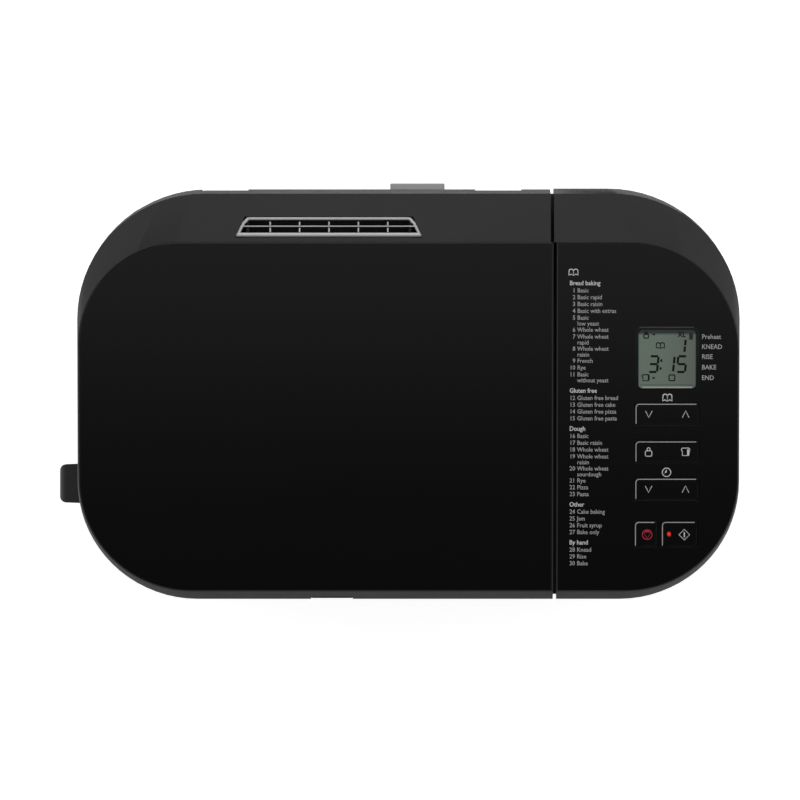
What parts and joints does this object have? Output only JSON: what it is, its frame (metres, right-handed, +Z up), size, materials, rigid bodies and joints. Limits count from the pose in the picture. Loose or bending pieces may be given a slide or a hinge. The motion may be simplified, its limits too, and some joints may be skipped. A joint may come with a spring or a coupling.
{
  "type": "bread machine",
  "caption": "Countertop bread machine: tall black case, hinged glossy lid with a steam vent, right-hand console with display and keys, bread pan and kneading blade inside.",
  "frame": {"origin": "middle of the footprint's box, on the surface the feet stand on", "axes": "+X right towards the console, +Y rear towards the lid hinge, +Z up"},
  "size_m": [0.415, 0.251, 0.3621],
  "materials": {
    "base_plastic": "fine spark texture, satin black",
    "rubber": "matt black rubber",
    "zinc": "bright zinc plate",
    "case_plastic": "fine spark texture, satin black",
    "deck_plastic": "satin dark grey",
    "guard_rubber": "moulded satin black",
    "spacer_plastic": "satin light grey",
    "top_plastic": "coarse spark texture, dark grey",
    "gloss_black": "polished piano black",
    "lcd_lens": "clear lens over a grey-green display",
    "lcd_frame": "grey-green display",
    "circuit_board": "green solder mask",
    "switch_plastic": "ivory nylon",
    "red_lamp": "red light pipe",
    "chamber_steel": "drawn galvanised sheet",
    "heater_sheath": "oxidised steel sheath",
    "cast_alloy": "as-cast alloy",
    "fuse_ceramic": "unglazed ceramic",
    "bronze": "sintered bronze",
    "motor_steel": "zinc-grey steel can",
    "belt_rubber": "toothed rubber belt",
    "inner_alloy": "satin pressed sheet",
    "gasket_silicone": "grey silicone",
    "vent_plastic": "satin grey",
    "pulley_plastic": "glass-filled nylon",
    "pan_coating": "speckled non-stick coating on cast aluminium",
    "handle_wire": "bright bent wire",
    "key_black": "polished black with white legends"
  },
  "bodies": {
    "case": {"base_tray": "base_plastic", "rubber_feet": "rubber", "base_screws": "zinc", "outer_shell": "case_plastic", "deck_frame": "deck_plastic", "cord_guard": "guard_rubber", "rear_spacer": "spacer_plastic", "console_cover": "top_plastic", "console_panel": "gloss_black", "lcd_window": "lcd_lens", "lcd_module": "lcd_frame", "control_board": "circuit_board", "key_switches": "switch_plastic", "key_cradles": "switch_plastic", "start_lamp": "red_lamp", "power_board": "circuit_board", "oven_chamber": "chamber_steel", "heat_shield": "chamber_steel", "heater_element": "heater_sheath", "heater_clips": "chamber_steel", "pan_seat": "cast_alloy", "temperature_sensor": "zinc", "thermal_fuse": "fuse_ceramic", "chassis_plate": "chamber_steel", "bearing_housing": "cast_alloy", "drive_bushes": "bronze", "motor_body": "motor_steel", "motor_screws": "zinc", "drive_belt": "belt_rubber", "hinge_pins": "zinc"},
    "lid": {"lid_frame": "top_plastic", "lid_panel": "gloss_black", "lid_liner": "deck_plastic", "lid_inner_plate": "inner_alloy", "lid_gasket": "gasket_silicone", "vent_grille": "vent_plastic", "steam_duct": "deck_plastic", "lid_screws": "zinc"},
    "drive": {"drive_shaft": "zinc", "drive_coupling": "cast_alloy", "large_pulley": "pulley_plastic"},
    "motor_rotor": {"motor_shaft": "zinc", "motor_pulley": "pulley_plastic"},
    "pan": {"bread_pan": "pan_coating", "pan_foot": "cast_alloy", "pan_bush": "bronze", "pan_rivets": "zinc"},
    "handle": {"pan_handle": "handle_wire"},
    "blade": {"pan_shaft": "zinc", "pan_coupling": "cast_alloy", "kneading_blade": "pan_coating"},
    "program_rocker": {"program_key": "key_black"},
    "size_crust_rocker": {"size_crust_key": "key_black"},
    "timer_rocker": {"timer_key": "key_black"},
    "stop_button": {"stop_key": "key_black"},
    "start_button": {"start_key": "key_black"}
  },
  "joints": [
    {"name": "lid_hinge", "type": "hinge", "parent": "case", "child": "lid", "pos_m": [0, 0.112, 0.327], "axis": [-1, 0, 0], "range_deg": [0, 82]},
    {"name": "drive_spin", "type": "hinge", "parent": "case", "child": "drive", "pos_m": [-0.05, -0.007, 0.05], "axis": [0, 0, 1], "continuous": true},
    {"name": "motor_spin", "type": "hinge", "parent": "case", "child": "motor_rotor", "pos_m": [0.148, -0.007, 0.05], "axis": [0, 0, 1], "continuous": true},
    {"name": "pan_twist", "type": "hinge", "parent": "case", "child": "pan", "pos_m": [-0.05, -0.007, 0.12], "axis": [0, 0, 1], "range_deg": [0, 12]},
    {"name": "handle_swing", "type": "hinge", "parent": "pan", "child": "handle", "pos_m": [-0.05, -0.007, 0.2806], "axis": [-1, 0, 0], "range_deg": [0, 90]},
    {"name": "blade_spin", "type": "hinge", "parent": "pan", "child": "blade", "pos_m": [-0.05, -0.007, 0.15], "axis": [0, 0, 1], "continuous": true},
    {"name": "program_rock", "type": "hinge", "parent": "case", "child": "program_rocker", "pos_m": [0.1635, -0.01354, 0.34211], "axis": [0, 0.9903, 0.1392], "range_deg": [-2.5, 2.5], "stiffness_Nm_per_rad": 0.6},
    {"name": "size_crust_rock", "type": "hinge", "parent": "case", "child": "size_crust_rocker", "pos_m": [0.1635, -0.03614, 0.33893], "axis": [0, 0.9903, 0.1392], "range_deg": [-2.5, 2.5], "stiffness_Nm_per_rad": 0.6},
    {"name": "timer_rock", "type": "hinge", "parent": "case", "child": "timer_rocker", "pos_m": [0.1635, -0.05853, 0.33578], "axis": [0, 0.9903, 0.1392], "range_deg": [-2.5, 2.5], "stiffness_Nm_per_rad": 0.6},
    {"name": "stop_press", "type": "slide", "parent": "case", "child": "stop_button", "axis": [0, 0.1392, -0.9903], "range_m": [0, 0.0007], "stiffness_N_per_m": 900},
    {"name": "start_press", "type": "slide", "parent": "case", "child": "start_button", "axis": [0, 0.1392, -0.9903], "range_m": [0, 0.0007], "stiffness_N_per_m": 900}
  ],
  "couplings": [
    {"joint": "motor_spin", "follows": "drive_spin", "ratio": 6.5},
    {"joint": "blade_spin", "follows": "drive_spin", "ratio": 1},
    {"joint": "handle_swing", "follows": "lid_hinge", "ratio": 1.09}
  ]
}
